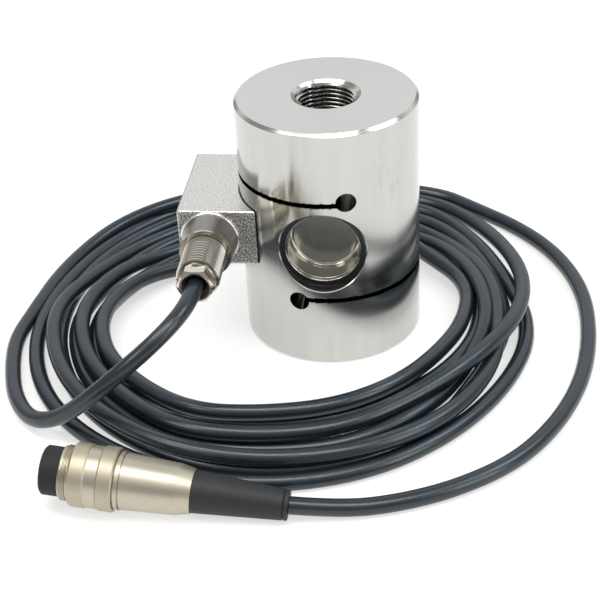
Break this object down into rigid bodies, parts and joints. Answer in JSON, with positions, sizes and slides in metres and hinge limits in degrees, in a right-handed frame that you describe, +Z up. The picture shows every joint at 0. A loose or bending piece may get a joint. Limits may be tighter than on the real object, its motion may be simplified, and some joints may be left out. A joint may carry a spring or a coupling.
{
  "type": "s type load cell",
  "caption": "Round steel column load cell slotted into an S, with a side junction block, cable gland, loosely coiled cable and in-line round connector.",
  "frame": {"origin": "centre of the column's base face", "axes": "+Z up along the column; -Y is the front, with the cable gland and a sealing cup; the junction block is on -X"},
  "size_m": [0.2007, 0.2131, 0.085],
  "materials": {
    "body_steel": "satin machined",
    "cup_steel": "satin pressed sheet",
    "block_steel": "grit blasted",
    "gland_nickel": "nickel plated",
    "screw_steel": "bright",
    "connector_nickel": "nickel plated, matt bands",
    "contact_gold": "plated",
    "carrier_plastic": "matt",
    "boot_rubber": "matt",
    "cable_sheath": "satin",
    "seal_rubber": "matt",
    "gauge_foil": "film with foil grid",
    "terminal_copper": "tinned pads",
    "wire_red": "insulated",
    "board_green": "solder resist",
    "resistor_black": "glossy chip",
    "pad_grey": "foam tape"
  },
  "bodies": {
    "root": {"load_body": "body_steel", "front_cup": "cup_steel", "rear_cup": "cup_steel", "gauge_front_left": "gauge_foil", "gauge_front_right": "gauge_foil", "gauge_rear_left": "gauge_foil", "gauge_rear_right": "gauge_foil", "terminal_front": "terminal_copper", "terminal_rear": "terminal_copper", "bridge_wires_front": "wire_red", "bridge_wires_rear": "wire_red", "block_gasket": "seal_rubber", "junction_block": "block_steel", "block_screws": "screw_steel", "block_cover": "block_steel", "cover_screws": "screw_steel", "board_pad": "pad_grey", "compensation_board": "board_green", "board_resistors": "resistor_black", "gland_body": "gland_nickel", "gland_oring": "seal_rubber", "gland_bush": "seal_rubber", "gland_washer": "screw_steel", "gland_screw": "gland_nickel", "cable_entry": "cable_sheath", "cable_cores": "wire_red", "cable_lead": "cable_sheath", "cable_coil": "cable_sheath", "cable_tail": "cable_sheath", "connector_insert": "carrier_plastic", "connector_contacts": "contact_gold", "connector_sleeve": "connector_nickel", "connector_ring": "connector_nickel", "connector_shell": "connector_nickel", "connector_clamp": "screw_steel", "connector_boot": "boot_rubber", "cable_end": "cable_sheath", "connector_cores": "wire_red"}
  },
  "joints": []
}
